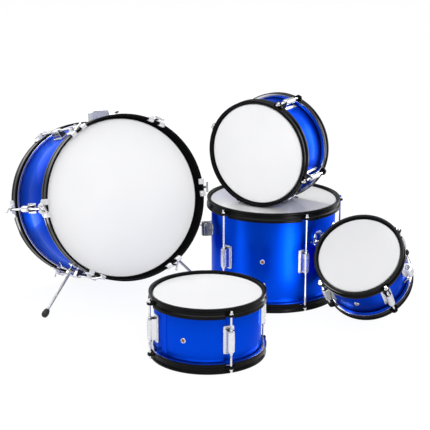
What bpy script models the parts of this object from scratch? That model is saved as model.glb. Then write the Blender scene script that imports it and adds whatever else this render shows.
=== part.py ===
import math

import bmesh
import bpy
from mathutils import Matrix, Vector

# Nominal shell radii and overall depths, hoop edge to hoop edge, in metres
BASS_RADIUS, BASS_DEPTH = 0.2032, 0.3383
FLOOR_TOM_RADIUS, FLOOR_TOM_DEPTH = 0.1651, 0.2678
SNARE_RADIUS, SNARE_DEPTH = 0.1270, 0.1576
TOM_10_RADIUS, TOM_10_DEPTH = 0.1270, 0.1424
TOM_8_RADIUS, TOM_8_DEPTH = 0.1016, 0.1458

# Where each drum's batter-side hoop centre stands in the group
BASS_AT = (-0.2448, 0.0181, 0.2946)
FLOOR_TOM_AT = (0.1357, 0.1352, FLOOR_TOM_DEPTH)
SNARE_AT = (-0.0375, -0.2944, SNARE_DEPTH)
TOM_10_AT = (0.0844, 0.0437, 0.4017)
TOM_8_AT = (0.3367, -0.1062, 0.1840)

# Way each drum faces: turn from the front and lift above level, in degrees
BASS_FACES = (25.11, 14.72)
TOM_10_FACES = (-30.66, 0.0)
TOM_8_FACES = (-25.6, 45.58)

# Angles of the lugs and fittings round each drum, in degrees
BASS_LUGS = [0.8 + 60 * i for i in range(6)]
FLOOR_TOM_LUGS = [7 + 72 * i for i in range(5)]
SNARE_LUGS = [22 + 90 * i for i in range(4)]
TOM_10_LUGS = [67 + 90 * i for i in range(4)]
TOM_8_LUGS = [49 + 90 * i for i in range(4)]
SPUR_ANGLES = {"left": 233.2, "right": 312.5}
LEG_BRACKETS = [71, 191, 311]
TOM_10_BRACKET = 293.0
TOM_8_BRACKET = 5.0
STRAINER_ANGLE = 67.0

# Wall and clearances
WALL = 0.006
GAP = 0.0003
FILM = 0.001

# Flanged hoop section: distance out from the shell and height below the rim
RIM_INNER, RIM_OUTER = 0.0050, 0.0120
FLANGE_OUTER = 0.0130
HOOP_WALL_OUTER, HOOP_WALL_INNER = 0.0094, 0.0069
HOOP_HEIGHT = 0.0249
HEAD_DROP = 0.0065
FLESH_OUTER = 0.0064

# Deep bass hoop section
BASS_HOOP_OUTER, BASS_HOOP_INNER = 0.0123, 0.0068
BASS_HOOP_WIDTH = 0.0410
BASS_HEAD_DROP = 0.0355

# Lugs and tension rods
ROD_OUT = 0.0170
ROD_RADIUS = 0.0027
BASS_ROD_OUT = 0.0190
BARREL_RADIUS = 0.0070
EAR_THICK = 0.0050

# Spurs, with the middle of each rubber foot in the group
SPUR_AXIS_AT = 0.125
SPUR_RADIUS = 0.0038
SPUR_INSIDE = 0.055
SPUR_FEET = {"left": (-0.4545, -0.0690, 0.0103), "right": (-0.0540, 0.1645, 0.0105)}

# Post mount on top of the bass drum and the turn of its T handles
MOUNT_ANGLE = 87.9
FRONT_BARS = [84 + 9 * i for i in range(6)]
REAR_BARS = [15 + 40 * i for i in range(6)]

# Wood, wrap and metal colours with their roughness and metallic values
LOOKS = {
    "blue_wrap": ((0.006, 0.075, 0.72, 1), 0.22, 0.55),
    "white_film": ((0.86, 0.86, 0.87, 1), 0.45, 0.0),
    "black_hoop": ((0.012, 0.012, 0.013, 1), 0.25, 0.0),
    "chrome": ((0.80, 0.81, 0.83, 1), 0.12, 1.0),
    "steel_rod": ((0.55, 0.55, 0.56, 1), 0.28, 1.0),
    "rubber": ((0.015, 0.015, 0.02, 1), 0.75, 0.0),
    "wires": ((0.62, 0.62, 0.60, 1), 0.35, 1.0),
}


def clear_scene():
    for old in list(bpy.data.objects):
        bpy.data.objects.remove(old, do_unlink=True)


def outward(body):
    """Turns every face out, told by the signed volume."""
    if body.calc_volume(signed=True) < 0:
        bmesh.ops.reverse_faces(body, faces=body.faces[:])
    return body


def lathe(profile, sides, phase=0.0):
    """A closed body turned about Z from (radius, height) points that run down the outer side."""
    body = bmesh.new()
    rings = []
    for radius, height in profile:
        if radius < 1e-7:
            rings.append([body.verts.new((0, 0, height))])
            continue
        ring = []
        for i in range(sides):
            a = phase + 2 * math.pi * i / sides
            ring.append(body.verts.new((radius * math.cos(a), radius * math.sin(a), height)))
        rings.append(ring)
    closed = len(rings[0]) > 1 and len(rings[-1]) > 1
    last = len(rings) if closed else len(rings) - 1
    for k in range(last):
        upper = rings[k]
        lower = rings[(k + 1) % len(rings)]
        for i in range(sides):
            j = (i + 1) % sides
            near = [upper[i % len(upper)], lower[i % len(lower)]]
            far = [lower[j % len(lower)], upper[j % len(upper)]]
            corners = list(dict.fromkeys(near + far))
            if len(corners) > 2:
                body.faces.new(corners)
    return outward(body)


def slab(x0, x1, y0, y1, z0, z1):
    """A box between two corners."""
    body = bmesh.new()
    bmesh.ops.create_cube(body, size=1.0)
    for v in body.verts:
        v.co.x = x0 if v.co.x < 0 else x1
        v.co.y = y0 if v.co.y < 0 else y1
        v.co.z = z0 if v.co.z < 0 else z1
    return outward(body)


def prism(outline, z0, z1):
    """A flat outline in the XY plane raised from z0 to z1."""
    body = bmesh.new()
    low = [body.verts.new((x, y, z0)) for x, y in outline]
    high = [body.verts.new((x, y, z1)) for x, y in outline]
    body.faces.new(low[::-1])
    body.faces.new(high)
    n = len(outline)
    for i in range(n):
        body.faces.new([low[i], low[(i + 1) % n], high[(i + 1) % n], high[i]])
    return outward(body)


def oval(half_x, half_y, sides, power=2.6):
    points = []
    for i in range(sides):
        a = 2 * math.pi * (i + 0.5) / sides
        c, s = math.cos(a), math.sin(a)
        points.append((math.copysign(abs(c) ** (2 / power), c) * half_x,
                       math.copysign(abs(s) ** (2 / power), s) * half_y))
    return points


def rod(start, end, radius, sides=8):
    """A round bar between two points."""
    start, end = Vector(start), Vector(end)
    along = end - start
    body = lathe([(0, along.length), (radius, along.length), (radius, 0), (0, 0)], sides, math.pi / sides)
    turn = along.to_track_quat("Z", "Y").to_matrix().to_4x4()
    body.transform(Matrix.Translation(start) @ turn)
    return body


def moved(body, matrix):
    body.transform(matrix)
    return outward(body)


def round_at(degrees):
    """Local X becomes outward, Y round the drum, Z up its axis, at this angle."""
    return Matrix.Rotation(math.radians(degrees), 4, "Z")


def flipped(depth):
    """Turns a batter-side piece over to the other end of a drum of this depth."""
    return Matrix.Translation((0, 0, -depth)) @ Matrix.Scale(-1, 4, (0, 0, 1))


# Turns local Z into local X, so that a flat piece stands on the shell
LYING = Matrix.Rotation(math.pi / 2, 4, "Y")
MATERIALS = {}


def material(name):
    if name not in MATERIALS:
        colour, roughness, metallic = LOOKS[name]
        made = bpy.data.materials.new(name)
        made.use_nodes = True
        shader = made.node_tree.nodes["Principled BSDF"]
        shader.inputs["Base Color"].default_value = colour
        shader.inputs["Roughness"].default_value = roughness
        shader.inputs["Metallic"].default_value = metallic
        made.diffuse_color = colour
        MATERIALS[name] = made
    return MATERIALS[name]


def mesh_object(name, body):
    mesh = bpy.data.meshes.new(name)
    body.to_mesh(mesh)
    body.free()
    made = bpy.data.objects.new(name, mesh)
    bpy.context.scene.collection.objects.link(made)
    return made


def join(base, others, operation):
    """One mesh from a base object and a list of helper objects, which are removed."""
    group = bpy.data.collections.new("helpers")
    bpy.context.scene.collection.children.link(group)
    for helper in others:
        bpy.context.scene.collection.objects.unlink(helper)
        group.objects.link(helper)
    step = base.modifiers.new("join", "BOOLEAN")
    step.operation = operation
    step.operand_type = "COLLECTION"
    step.collection = group
    step.solver = "EXACT"
    bpy.context.view_layer.update()
    graph = bpy.context.evaluated_depsgraph_get()
    mesh = bpy.data.meshes.new_from_object(base.evaluated_get(graph))
    base.modifiers.clear()
    base.data = mesh
    for helper in others:
        bpy.data.objects.remove(helper, do_unlink=True)
    bpy.data.collections.remove(group)


def node(name, bodies, look, parent, cuts=(), smooth=40):
    """One named object: the union of the bodies, less the cuts, in its parent's frame."""
    base = mesh_object(name, bodies[0])
    if len(bodies) > 1:
        join(base, [mesh_object("helper", b) for b in bodies[1:]], "UNION")
    if cuts:
        join(base, [mesh_object("helper", b) for b in cuts], "DIFFERENCE")
    base.data.materials.clear()
    base.data.materials.append(material(look))
    for face in base.data.polygons:
        face.use_smooth = True
        face.material_index = 0
    base.data.set_sharp_from_angle(angle=math.radians(smooth))
    base.parent = parent
    return base


def empty(name, matrix, parent=None):
    made = bpy.data.objects.new(name, None)
    bpy.context.scene.collection.objects.link(made)
    made.empty_display_size = 0.05
    made.parent = parent
    made.matrix_local = matrix
    return made


def drum_frame(at, faces=None):
    """Frame on the batter-side hoop plane: Z out of the head, X level, Y up or to the rear."""
    if faces is None:
        return Matrix.Translation(at)
    turn, lift = (math.radians(a) for a in faces)
    out = Vector((math.sin(turn) * math.cos(lift), -math.cos(turn) * math.cos(lift), math.sin(lift)))
    across = Vector((0, 0, 1)).cross(out).normalized()
    up = out.cross(across)
    axes = Matrix((across, up, out)).transposed().to_4x4()
    return Matrix.Translation(at) @ axes


def flanged_profile(r):
    return [
        (r + RIM_INNER, 0),
        (r + RIM_OUTER, 0),
        (r + RIM_OUTER, -0.0052),
        (r + HOOP_WALL_OUTER, -0.0078),
        (r + HOOP_WALL_OUTER, -0.0155),
        (r + FLANGE_OUTER, -0.0180),
        (r + FLANGE_OUTER, -HOOP_HEIGHT),
        (r + HOOP_WALL_INNER, -HOOP_HEIGHT),
        (r + HOOP_WALL_INNER, -0.0100),
        (r + 0.0030, -0.0100),
    ]


def bass_hoop_profile(r):
    inner, outer = r + BASS_HOOP_INNER, r + BASS_HOOP_OUTER
    return [
        (inner, 0),
        (outer - 0.0006, 0),
        (outer, -0.0120),
        (outer - 0.0014, -0.0150),
        (outer - 0.0014, -0.0260),
        (outer, -0.0290),
        (outer, -BASS_HOOP_WIDTH),
        (inner, -BASS_HOOP_WIDTH),
        (inner, -0.0385),
        (r + 0.0030, -0.0385),
        (inner, -0.0330),
    ]


def head_profile(r, drop, flesh_top, flesh_low):
    """Drum head: flat film, short collar and the flesh ring that the hoop pulls down."""
    return [
        (0, -drop),
        (r + 0.0014, -drop),
        (r + 0.0018, -flesh_top),
        (r + FLESH_OUTER, -flesh_top),
        (r + FLESH_OUTER, -flesh_low),
        (r + 0.0004, -flesh_low),
        (r + 0.0004, -drop - FILM),
        (0, -drop - FILM),
    ]


def shell_profile(r, drop, depth):
    """Drum shell: straight wall with both bearing edges cut back to a ridge."""
    top, low = -drop - FILM - GAP, -depth + drop + FILM + GAP
    return [
        (r - 0.0022, top),
        (r, top - 0.0022),
        (r, low + 0.0022),
        (r - 0.0022, low),
        (r - WALL, low + 0.0038),
        (r - WALL, top - 0.0038),
    ]


def lug(r, angle, mid, length, half_width=0.0095, rod_out=ROD_OUT):
    """Lug on the shell: foot plate, web and a barrel fullest at the middle, for a rod from each end."""
    half = length / 2
    grow = [(0, half), (0.0045, half), (BARREL_RADIUS, half * 0.35),
            (BARREL_RADIUS, -half * 0.35), (0.0045, -half), (0, -half)]
    barrel = lathe(grow, 8, math.pi / 8)
    place = round_at(angle) @ Matrix.Translation((r, 0, mid))
    plate = moved(prism(oval(half + 0.004, half_width, 8, 6.0), -0.0015, 0.0030),
                  Matrix.Rotation(math.pi / 2, 4, "Y"))
    web = slab(-0.0010, rod_out, -0.0030, 0.0030, -half * 0.80, half * 0.80)
    pieces = [plate, web, moved(barrel, Matrix.Translation((rod_out, 0, 0)))]
    return [moved(piece, place) for piece in pieces]


def tension_rod(r, angle, lug_top):
    """Ear on the hoop's flange with the rod's head above it and the rod down to the lug."""
    ear_top = -HOOP_HEIGHT + EAR_THICK
    ear = prism([(0.0110, -0.0100), (0.0185, -0.0072), (0.0232, -0.0040), (0.0232, 0.0040),
                 (0.0185, 0.0072), (0.0110, 0.0100)], -HOOP_HEIGHT + 0.0002, ear_top)
    bolt = lathe([(0, ear_top + 0.0092), (0.0038, ear_top + 0.0092), (0.0038, ear_top + 0.0022),
                  (0.0052, ear_top + 0.0022), (0.0052, ear_top - 0.0010), (ROD_RADIUS, ear_top - 0.0010),
                  (ROD_RADIUS, lug_top + GAP), (0, lug_top + GAP)], 6, math.pi / 6)
    place = round_at(angle)
    at_rod = place @ Matrix.Translation((r + ROD_OUT, 0, 0))
    ear_place = place @ Matrix.Translation((r, 0, 0))
    return [moved(ear, ear_place), moved(bolt, at_rod)]


def both_ends(prefix, ends, kind, pieces, look, parent, depth):
    """The same piece made for the first end and turned over for the second."""
    first, second = ends
    node(f"{prefix}_{first}_{kind}", pieces(), look, parent)
    node(f"{prefix}_{second}_{kind}", [moved(p, flipped(depth)) for p in pieces()], look, parent)


def small_drum(prefix, r, depth, frame, sides, lugs, lug_length, extras=()):
    """Shell, two heads and two flanged hoops with their rods, all in the drum's own frame."""
    drum = empty(prefix, frame, KIT)
    lug_top = -depth / 2 + lug_length / 2
    shell = [lathe(shell_profile(r, HEAD_DROP, depth), sides)]
    for angle in lugs:
        shell += lug(r, angle, -depth / 2, lug_length)
    shell += list(extras)
    node(prefix + "_shell", shell, "blue_wrap", drum)

    def head():
        return [lathe(head_profile(r, HEAD_DROP, 0.0103, 0.0170), sides)]

    def hoop():
        made = [lathe(flanged_profile(r), sides)]
        for angle in lugs:
            made += tension_rod(r, angle, lug_top)
        return made

    both_ends(prefix, ("batter", "reso"), "head", head, "white_film", drum, depth)
    both_ends(prefix, ("batter", "reso"), "hoop", hoop, "black_hoop", drum, depth)
    return drum


def grommet(r, angle, at):
    """Raised ring of the air vent on the shell."""
    ring = lathe([(0, 0.0014), (0.0022, 0.0014), (0.0030, 0.0022), (0.0066, 0.0010),
                  (0.0066, -0.0015), (0, -0.0015)], 8)
    return moved(ring, round_at(angle) @ Matrix.Translation((r, 0, at)) @ LYING)


def wing_screw(name, length, span, parent, frame):
    """Thumb screw turning about its own Z: shank, collar and two wings."""
    pivot = empty(name + "_axis", frame, parent)
    shank = lathe([(0, length + 0.0040), (0.0042, length + 0.0040), (0.0050, length - 0.0040),
                   (0.0024, length - 0.0040), (0.0024, 0), (0, 0)], 8, math.pi / 8)
    wing = prism([(-0.5 * span, 0.0105), (-0.34 * span, 0.0125), (-0.10 * span, 0.0040),
                  (0.10 * span, 0.0040), (0.34 * span, 0.0125), (0.5 * span, 0.0105),
                  (0.40 * span, 0.0020), (0.14 * span, -0.0025), (-0.14 * span, -0.0025),
                  (-0.40 * span, 0.0020)], -0.0014, 0.0014)
    turn = Matrix.Translation((0, 0, length)) @ Matrix.Rotation(math.pi / 2, 4, "X")
    node(name, [shank, moved(wing, turn)], "chrome", pivot)


def clamp_bracket(name, r, angle, at, reach, parent, half=0.0120, tall=0.0170, hole=0.0062, side=-1):
    """Leg or tom bracket: oval foot, block standing off the shell and a through hole along the axis."""
    foot = moved(prism(oval(tall + 0.004, half + 0.0040, 12), GAP, 0.0045), LYING)
    block = prism([(0.0020, -half), (reach - 0.003, -half), (reach, -half + 0.003), (reach, half - 0.003),
                   (reach - 0.003, half), (0.0020, half)], -tall, tall)
    bore = lathe([(0, tall + 0.01), (hole, tall + 0.01), (hole, -tall - 0.01), (0, -tall - 0.01)], 12)
    centre = reach - hole - 0.0045
    place = round_at(angle) @ Matrix.Translation((r, 0, at))
    cut = moved(bore, place @ Matrix.Translation((centre, 0, 0)))
    node(name, [moved(foot, place), moved(block, place)], "chrome", parent, cuts=[cut])
    turn = Matrix.Rotation(-side * math.pi / 2, 4, "X")
    return place @ Matrix.Translation((centre, side * (half + GAP), 0)) @ turn


def claw(r, angle):
    """Two fingers hooked over the hoop's edge, a bridge between them and cheeks either side of the rod."""
    outer = r + BASS_HOOP_OUTER
    inner = r + BASS_HOOP_INNER
    hook = [(outer - 0.0008, -0.0300), (outer + 0.0020, -0.0300), (outer + 0.0030, 0.0014),
            (outer + 0.0014, 0.0030), (inner - 0.0016, 0.0030), (inner - 0.0028, 0.0014),
            (inner - 0.0020, -0.0120), (inner + 0.0006, -0.0120), (inner + 0.0006, -0.0006),
            (outer - 0.0008, -0.0006)]
    pieces = []
    for near in (0.0085, -0.0235):
        finger = prism(hook, -0.0075, 0.0075)
        place = Matrix.Translation((0, near + 0.0075, 0)) @ Matrix.Rotation(math.pi / 2, 4, "X")
        pieces.append(moved(finger, place))
    top = r + BASS_ROD_OUT + 0.0045
    yoke = [(outer - 0.0008, -0.0200), (outer + 0.0030, -0.0200), (top, -0.0100), (top, -0.0036),
            (outer + 0.0030, -0.0036), (outer + 0.0030, 0.0036), (top, 0.0036), (top, 0.0100),
            (outer + 0.0030, 0.0200), (outer - 0.0008, 0.0200)]
    pieces.append(prism(yoke, -0.0350, -0.0240))
    return [moved(piece, round_at(angle)) for piece in pieces]


def t_rod(name, r, angle, depth, lug_length, far_end, bar_turn, parent):
    """T-handled tension rod on its own axis, from the claw's cheeks to the lug's barrel."""
    frame = round_at(angle) @ Matrix.Translation((r + BASS_ROD_OUT, 0, 0))
    if far_end:
        frame = Matrix.Translation((0, 0, -depth)) @ Matrix.Rotation(math.pi, 4, "X")
        frame = frame @ round_at(-angle) @ Matrix.Translation((r + BASS_ROD_OUT, 0, 0))
    frame = frame @ Matrix.Rotation(math.radians(bar_turn), 4, "Z")
    pivot = empty(name + "_axis", frame, parent)
    lug_top = -depth / 2 + lug_length / 2
    shank = lathe([(0, 0.0060), (0.0036, 0.0060), (0.0036, -0.0225), (0.0060, -0.0225), (0.0060, -0.0237),
                   (ROD_RADIUS, -0.0237), (ROD_RADIUS, lug_top + GAP), (0, lug_top + GAP)], 6, math.pi / 6)
    bar = rod((-0.0115, 0, 0.0075), (0.0115, 0, 0.0075), 0.0028, 6)
    node(name, [shank, bar], "chrome", pivot)


def spur_hole(frame, margin):
    """Cutter round a spur's line, wider than the rod by the margin."""
    width = SPUR_RADIUS + margin
    return moved(lathe([(0, 0.06), (width, 0.06), (width, -0.06), (0, -0.06)], 12), frame)


def spur(side, angle, frame, drum):
    """Bracket on the shell, sliding spur with its rubber foot and the screw that clamps it."""
    r = BASS_RADIUS
    place = round_at(angle) @ Matrix.Translation((r, 0, -SPUR_AXIS_AT))
    start = place @ Vector((0.0150, 0, 0))
    reach = frame.inverted() @ Vector(SPUR_FEET[side]) - start
    axis = Matrix.Translation(start) @ reach.to_track_quat("Z", "Y").to_matrix().to_4x4()
    foot = moved(prism(oval(0.0150, 0.0150, 12), GAP, 0.0042), LYING)
    block = slab(0.0020, 0.0280, -0.0085, 0.0085, -0.0100, 0.0100)
    node(f"bass_spur_bracket_{side}", [moved(foot, place), moved(block, place)], "chrome", drum,
         cuts=[spur_hole(axis, 0.0004)])
    pivot = empty(f"bass_spur_{side}_axis", axis, drum)
    end = reach.length - 0.0020
    node(f"bass_spur_{side}", [rod((0, 0, -SPUR_INSIDE), (0, 0, end), SPUR_RADIUS, 10)], "steel_rod", pivot)
    socket = SPUR_RADIUS + GAP
    rubber = lathe([(0, end + 0.0120), (0.0056, end + 0.0112), (0.0088, end + 0.0060), (0.0086, end - 0.0040),
                    (0.0062, end - 0.0110), (socket, end - 0.0110), (socket, end + GAP), (0, end + GAP)], 10)
    node(f"bass_spur_foot_{side}", [rubber], "rubber", pivot)
    out = -1 if side == "left" else 1
    screw = place @ Matrix.Translation((0.0200, out * (0.0085 + GAP), 0))
    screw = screw @ Matrix.Rotation(-out * math.pi / 2, 4, "X")
    wing_screw(f"bass_spur_screw_{side}", 0.0180, 0.0180, drum, screw)
    return spur_hole(axis, 0.0012)


def tom_mount(drum):
    """Block on top of the bass drum with a blind hole for a tom post and its clamping screw."""
    place = round_at(MOUNT_ANGLE) @ Matrix.Translation((BASS_RADIUS, 0, -BASS_DEPTH / 2))
    foot = moved(prism(oval(0.0230, 0.0290, 12, 4.0), GAP, 0.0040), LYING)
    block = prism([(0.0020, -0.0225), (0.0250, -0.0225), (0.0310, -0.0180), (0.0330, -0.0080),
                   (0.0330, 0.0080), (0.0310, 0.0180), (0.0250, 0.0225), (0.0020, 0.0225)], -0.0180, 0.0180)
    post_hole = lathe([(0, 0.0400), (0.0105, 0.0400), (0.0105, 0.0060), (0, 0.0060)], 14)
    node("bass_tom_mount", [moved(foot, place), moved(block, place)], "chrome", drum,
         cuts=[moved(post_hole, place @ LYING)])
    screw = place @ Matrix.Translation((0.0200, -0.0225 - GAP, 0)) @ Matrix.Rotation(math.pi / 2, 4, "X")
    wing_screw("bass_mount_screw", 0.0210, 0.0200, drum, screw)


def bass_drum():
    r, depth, length = BASS_RADIUS, BASS_DEPTH, 0.062
    frame = drum_frame(BASS_AT, BASS_FACES)
    drum = empty("bass", frame, KIT)
    holes = [spur(side, angle, frame, drum) for side, angle in SPUR_ANGLES.items()]
    shell = [lathe(shell_profile(r, BASS_HEAD_DROP, depth), 40)]
    for angle in BASS_LUGS:
        shell += lug(r, angle, -depth / 2, length, 0.0120, BASS_ROD_OUT)
    node("bass_shell", shell, "blue_wrap", drum, cuts=holes)

    def head():
        return [lathe(head_profile(r, BASS_HEAD_DROP, 0.0388, 0.0445), 40)]

    def hoop():
        made = [lathe(bass_hoop_profile(r), 40)]
        for angle in BASS_LUGS:
            made += claw(r, angle)
        return made

    both_ends("bass", ("front", "rear"), "head", head, "white_film", drum, depth)
    both_ends("bass", ("front", "rear"), "hoop", hoop, "black_hoop", drum, depth)
    for i, angle in enumerate(BASS_LUGS):
        t_rod(f"bass_t_rod_front_{i + 1}", r, angle, depth, length, False, FRONT_BARS[i], drum)
        t_rod(f"bass_t_rod_rear_{i + 1}", r, angle, depth, length, True, REAR_BARS[i], drum)
    tom_mount(drum)


def floor_tom():
    r, depth = FLOOR_TOM_RADIUS, FLOOR_TOM_DEPTH
    drum = small_drum("floor_tom", r, depth, drum_frame(FLOOR_TOM_AT), 36, FLOOR_TOM_LUGS, 0.064,
                      [grommet(r, 258.1, -0.1326)])
    for i, angle in enumerate(LEG_BRACKETS):
        axis = clamp_bracket(f"floor_tom_leg_bracket_{i + 1}", r, angle, -0.0810, 0.0290, drum)
        wing_screw(f"floor_tom_leg_screw_{i + 1}", 0.0120, 0.0180, drum, axis)


def snare_drum():
    r, depth = SNARE_RADIUS, SNARE_DEPTH
    drum = small_drum("snare", r, depth, drum_frame(SNARE_AT), 28, SNARE_LUGS, 0.056,
                      [grommet(r, 244.6, -0.0831)])
    low = -depth + HEAD_DROP
    wires = [slab(-0.0900, -0.0800, -0.0200, 0.0200, low - 0.0030, low - GAP * 2),
             slab(0.0800, 0.0900, -0.0200, 0.0200, low - 0.0030, low - GAP * 2)]
    for i in range(8):
        y = -0.0182 + 0.0052 * i
        wires.append(slab(-0.0850, 0.0850, y - 0.0008, y + 0.0008, low - 0.0024, low - 0.0010))
    node("snare_wires", [moved(w, round_at(STRAINER_ANGLE)) for w in wires], "wires", drum)
    place = round_at(STRAINER_ANGLE) @ Matrix.Translation((r, 0, -depth / 2 - 0.004))
    plate = slab(GAP, 0.0035, -0.0140, 0.0140, -0.0280, 0.0280)
    cheeks = [slab(0.0020, 0.0180, -0.0120, -0.0080, -0.0200, 0.0180),
              slab(0.0020, 0.0180, 0.0080, 0.0120, -0.0200, 0.0180)]
    back = slab(0.0020, 0.0060, -0.0120, 0.0120, -0.0200, 0.0180)
    pin = rod((0.0130, -0.0120, -0.0120), (0.0130, 0.0120, -0.0120), 0.0018, 8)
    knob = lathe([(0, 0.0300), (0.0050, 0.0300), (0.0055, 0.0290), (0.0055, 0.0190), (0.0030, 0.0180),
                  (0.0030, 0.0100), (0, 0.0100)], 10)
    bridge = slab(0.0020, 0.0150, -0.0100, 0.0100, 0.0130, 0.0180)
    pieces = [plate] + cheeks + [back, pin, moved(knob, Matrix.Translation((0.0110, 0, 0))), bridge]
    node("snare_strainer", [moved(p, place) for p in pieces], "chrome", drum)
    hinge = place @ Matrix.Translation((0.0130, 0, -0.0120)) @ Matrix.Rotation(-math.pi / 2, 4, "X")
    pivot = empty("snare_lever_axis", hinge, drum)
    arm = [lathe([(0.0042, 0.0060), (0.0042, -0.0060), (0.0022, -0.0060), (0.0022, 0.0060)], 10),
           slab(0.0026, 0.0048, -0.0300, -0.0005, -0.0055, 0.0055)]
    node("snare_lever", arm, "chrome", pivot)


def tom(prefix, r, depth, at, faces, lugs, lug_length, bracket_at, reach, side, extras=()):
    drum = small_drum(prefix, r, depth, drum_frame(at, faces), 28, lugs, lug_length, extras)
    axis = clamp_bracket(prefix + "_bracket", r, bracket_at, -depth / 2, reach, drum, 0.0115, 0.0150, 0.0045,
                         side)
    wing_screw(prefix + "_bracket_screw", 0.0120, 0.0180, drum, axis)


def centre_on_floor(kit):
    """Moves the group so that its box stands on the floor, centred on the origin."""
    bpy.context.view_layer.update()
    corners = []
    for made in bpy.data.objects:
        if made.type == "MESH":
            corners += [made.matrix_world @ v.co for v in made.data.vertices]
    low = [min(c[i] for c in corners) for i in range(3)]
    high = [max(c[i] for c in corners) for i in range(3)]
    kit.location = (-(low[0] + high[0]) / 2, -(low[1] + high[1]) / 2, -low[2])


clear_scene()
KIT = empty("kit", Matrix.Identity(4))
bass_drum()
floor_tom()
snare_drum()
tom("tom_10", TOM_10_RADIUS, TOM_10_DEPTH, TOM_10_AT, TOM_10_FACES, TOM_10_LUGS, 0.050,
    TOM_10_BRACKET, 0.0180, 1)
tom("tom_8", TOM_8_RADIUS, TOM_8_DEPTH, TOM_8_AT, TOM_8_FACES, TOM_8_LUGS, 0.050, TOM_8_BRACKET, 0.0230, -1,
    [grommet(TOM_8_RADIUS, 274.0, -0.0764)])
centre_on_floor(KIT)
bpy.context.view_layer.update()
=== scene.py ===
import math
from collections import namedtuple

import bmesh
import bpy
import numpy as np
from mathutils import Matrix, Vector


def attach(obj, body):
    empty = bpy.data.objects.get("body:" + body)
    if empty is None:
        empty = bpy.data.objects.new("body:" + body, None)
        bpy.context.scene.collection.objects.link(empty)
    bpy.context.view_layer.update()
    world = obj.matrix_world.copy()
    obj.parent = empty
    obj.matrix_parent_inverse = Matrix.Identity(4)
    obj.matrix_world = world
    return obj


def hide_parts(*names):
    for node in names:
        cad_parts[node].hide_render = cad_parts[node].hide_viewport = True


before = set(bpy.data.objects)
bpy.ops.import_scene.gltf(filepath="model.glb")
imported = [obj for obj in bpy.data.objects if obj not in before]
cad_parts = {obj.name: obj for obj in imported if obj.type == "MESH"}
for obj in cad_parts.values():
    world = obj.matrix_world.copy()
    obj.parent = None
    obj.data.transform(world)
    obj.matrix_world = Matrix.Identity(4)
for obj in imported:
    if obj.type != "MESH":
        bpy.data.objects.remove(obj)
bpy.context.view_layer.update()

# Sizes of the drums in metres, as in the part
KIT_SHIFT = Vector((0.0539, 0.00634, 0.0))
GAP = 0.0003
ROD_OUT = 0.017
BASS_ROD_OUT = 0.019
HOOP_HEIGHT = 0.0249
EAR_TOP, EAR_LOW = -0.0133, -0.0183
NOTCH, NOTCH_EDGE = 0.0078, 0.0012
NOTCH_LOW, NOTCH_SKIRT, NOTCH_RING = -0.0184, 0.01, 0.0065
HEAD_DROP, COLLAR_DROP = 0.0065, 0.016
BASS_HEAD_DROP, BASS_COLLAR_DROP = 0.0355, 0.044
WALL = 0.006
LAP_MARGIN, BASS_LAP_MARGIN = 0.012, 0.048
LUG_MIDDLE, LUG_END, LUG_FOOT = 0.0088, 0.007, 0.0132
THREAD_PITCH, THREAD_CUT = 0.0011, 0.0004
STEPS = 112

# Degrees: an edge that bends more than this stays sharp
CREASE, LUG_CREASE = 35.0, 20.0

# Where a noise is cut off before it is spread over a range
NOISE_LOW, NOISE_HIGH = 0.3, 0.7


def drum_frame(at, faces=None):
    """Frame on the playing-side hoop plane: Z out of the head, X level, Y up or to the rear."""
    shift = Matrix.Translation(Vector(at) + KIT_SHIFT)
    if faces is None:
        return shift
    turn, lift = (math.radians(a) for a in faces)
    out = Vector((math.sin(turn) * math.cos(lift), -math.cos(turn) * math.cos(lift), math.sin(lift)))
    across = Vector((0, 0, 1)).cross(out).normalized()
    return shift @ Matrix((across, out.cross(across), out)).transposed().to_4x4()


# Sizes of each drum: its frame is at the playing side, and its depth is over the hoops
Drum = namedtuple("Drum", "radius depth place lugs first_lug lug_length foot_length")
DRUMS = {
    "bass": Drum(0.2032, 0.3383, drum_frame((-0.2448, 0.0181, 0.2946), (25.11, 14.72)), 6, 0.8, 0.062, 0.07),
    "floor_tom": Drum(0.1651, 0.2678, drum_frame((0.1357, 0.1352, 0.2678)), 5, 7.0, 0.051, 0.062),
    "snare": Drum(0.127, 0.1576, drum_frame((-0.0375, -0.2944, 0.1576)), 4, 22.0, 0.053, 0.068),
    "tom_10": Drum(0.127, 0.1424, drum_frame((0.0844, 0.0437, 0.4017), (-30.66, 0)), 4, 67.0, 0.05, 0.065),
    "tom_8": Drum(0.1016, 0.1458, drum_frame((0.3367, -0.1062, 0.184), (-25.6, 45.58)), 4, 49, 0.05, 0.065),
}

# Angle of each spur round the bass drum, and its foot's place
SPURS = {"left": (233.2, (-0.4545, -0.069, 0.0103)), "right": (312.5, (-0.054, 0.1645, 0.0105))}
SPUR_HEIGHT, SPUR_OUT, SPUR_TAIL = -0.125, 0.015, 0.055
MOUNT_ANGLE = 87.9
STRAINER_ANGLE = 67.0

# First T handle's angle and the step to the next, front and rear
FRONT_HANDLES, REAR_HANDLES = (84, 9), (15, 40)

LYING = Matrix.Rotation(math.pi / 2, 4, "Y")
STANDING = Matrix.Rotation(math.pi / 2, 4, "X")
MIRROR = Matrix.Scale(-1, 4, (0, 0, 1))


def round_at(degrees):
    """Local X becomes outward, Y round the drum, Z up its axis, at this angle."""
    return Matrix.Rotation(math.radians(degrees), 4, "Z")


def to_side(side):
    """Local Z becomes +Y for side 1 and -Y for side -1."""
    return Matrix.Rotation(-side * math.pi / 2, 4, "X")


def flipped(depth):
    """Turns a piece of the playing side over to the other end of the drum."""
    return Matrix.Translation((0, 0, -depth)) @ MIRROR


def on_shell(body, angle, height):
    """Frame on a drum's shell: X out, Z along the drum."""
    drum = DRUMS[body]
    return drum.place @ round_at(angle) @ Matrix.Translation((drum.radius, 0, height))


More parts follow.
